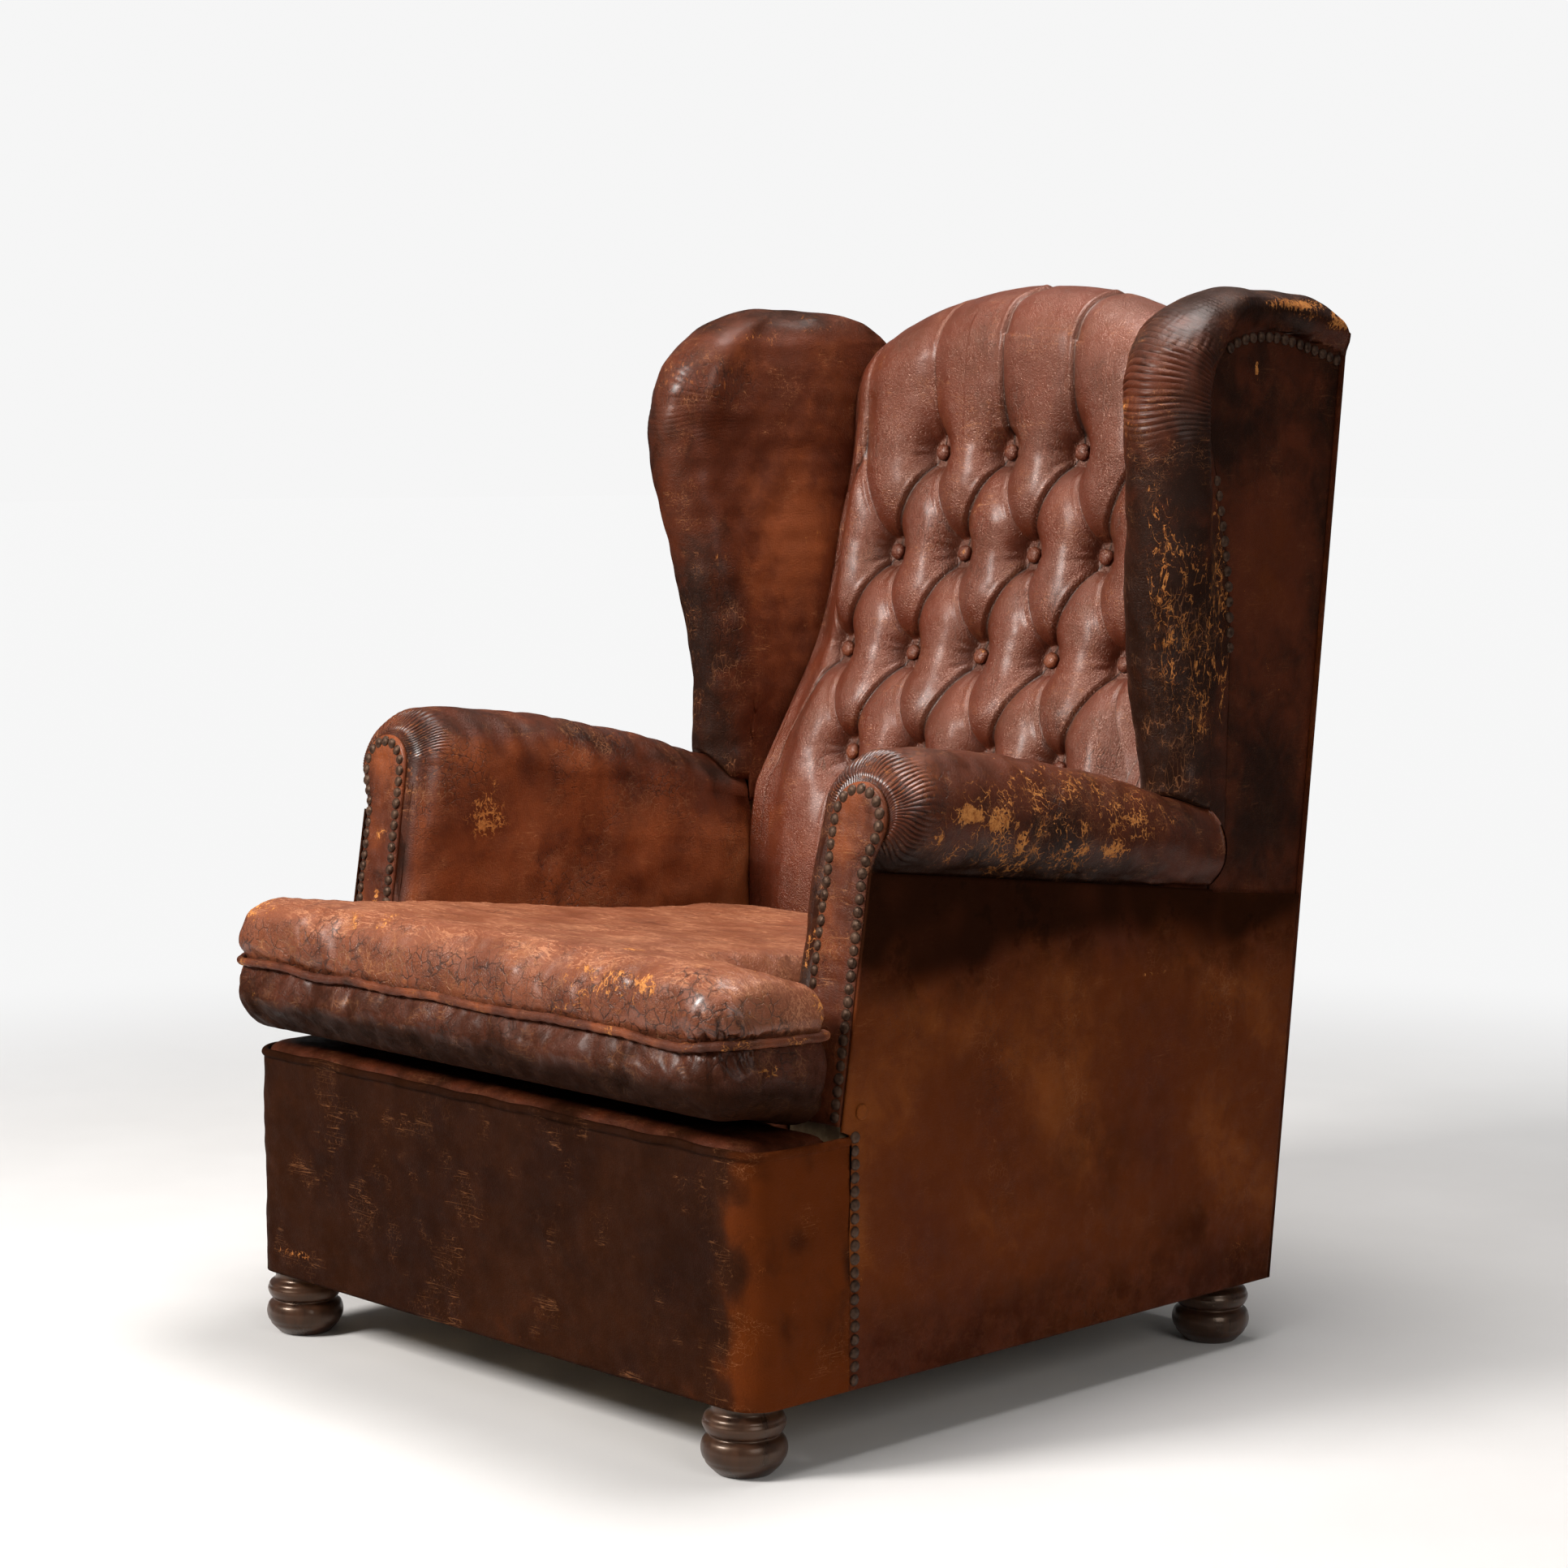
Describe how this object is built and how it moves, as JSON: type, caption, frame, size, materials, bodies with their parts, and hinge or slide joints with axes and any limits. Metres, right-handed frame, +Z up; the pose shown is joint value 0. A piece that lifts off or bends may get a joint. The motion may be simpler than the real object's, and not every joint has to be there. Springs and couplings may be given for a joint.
{
  "type": "worn wingback club chair",
  "caption": "Worn leather wingback club chair with a deep-buttoned back, rolled arms, nailed facings, a loose seat cushion and low turned wooden feet.",
  "frame": {"origin": "on the floor under the middle of the chair's bounding box", "axes": "+Z up, -Y the way a sitter faces, +X to the right in the front view"},
  "size_m": [0.794, 0.876, 1.0686],
  "materials": {
    "leather": "worn semi-gloss",
    "panel_leather": "rubbed satin",
    "piping_leather": "rubbed matt",
    "foot_wood": "dark polish",
    "frame_wood": "sawn, unfinished",
    "jute": "woven",
    "deck_cloth": "woven, dusty",
    "spring_steel": "dull"
  },
  "bodies": {
    "root": {"foot_front_right": "foot_wood", "foot_front_left": "foot_wood", "foot_back_right": "foot_wood", "foot_back_left": "foot_wood", "corner_block_front_right": "frame_wood", "corner_block_back_right": "frame_wood", "back_post_right": "frame_wood", "arm_post_right": "frame_wood", "arm_rail_right": "frame_wood", "wing_board_right": "frame_wood", "seat_rail_right": "frame_wood", "corner_block_front_left": "frame_wood", "corner_block_back_left": "frame_wood", "back_post_left": "frame_wood", "arm_post_left": "frame_wood", "arm_rail_left": "frame_wood", "wing_board_left": "frame_wood", "seat_rail_left": "frame_wood", "seat_rail_front": "frame_wood", "seat_rail_back": "frame_wood", "lower_back_rail": "frame_wood", "top_rail": "frame_wood", "seat_webbing": "jute", "strap_end": "jute", "coil_spring_1": "spring_steel", "coil_spring_2": "spring_steel", "coil_spring_3": "spring_steel", "coil_spring_4": "spring_steel", "seat_deck": "deck_cloth", "front_border": "leather", "inside_back": "leather", "seat_cushion": "leather", "cushion_piping": "piping_leather", "arm_right": "leather", "arm_facing_right": "leather", "wing_right": "leather", "outside_arm_right": "panel_leather", "outside_wing_right": "panel_leather", "arm_left": "leather", "arm_facing_left": "leather", "wing_left": "leather", "outside_arm_left": "panel_leather", "outside_wing_left": "panel_leather", "outside_back": "panel_leather", "back_button_01": "leather", "back_button_02": "leather", "back_button_03": "leather", "back_button_04": "leather", "back_button_05": "leather", "back_button_06": "leather", "back_button_07": "leather", "back_button_08": "leather", "back_button_09": "leather", "back_button_10": "leather", "back_button_11": "leather", "back_button_12": "leather", "back_button_13": "leather", "back_button_14": "leather", "back_button_15": "leather", "back_button_16": "leather"}
  },
  "joints": []
}
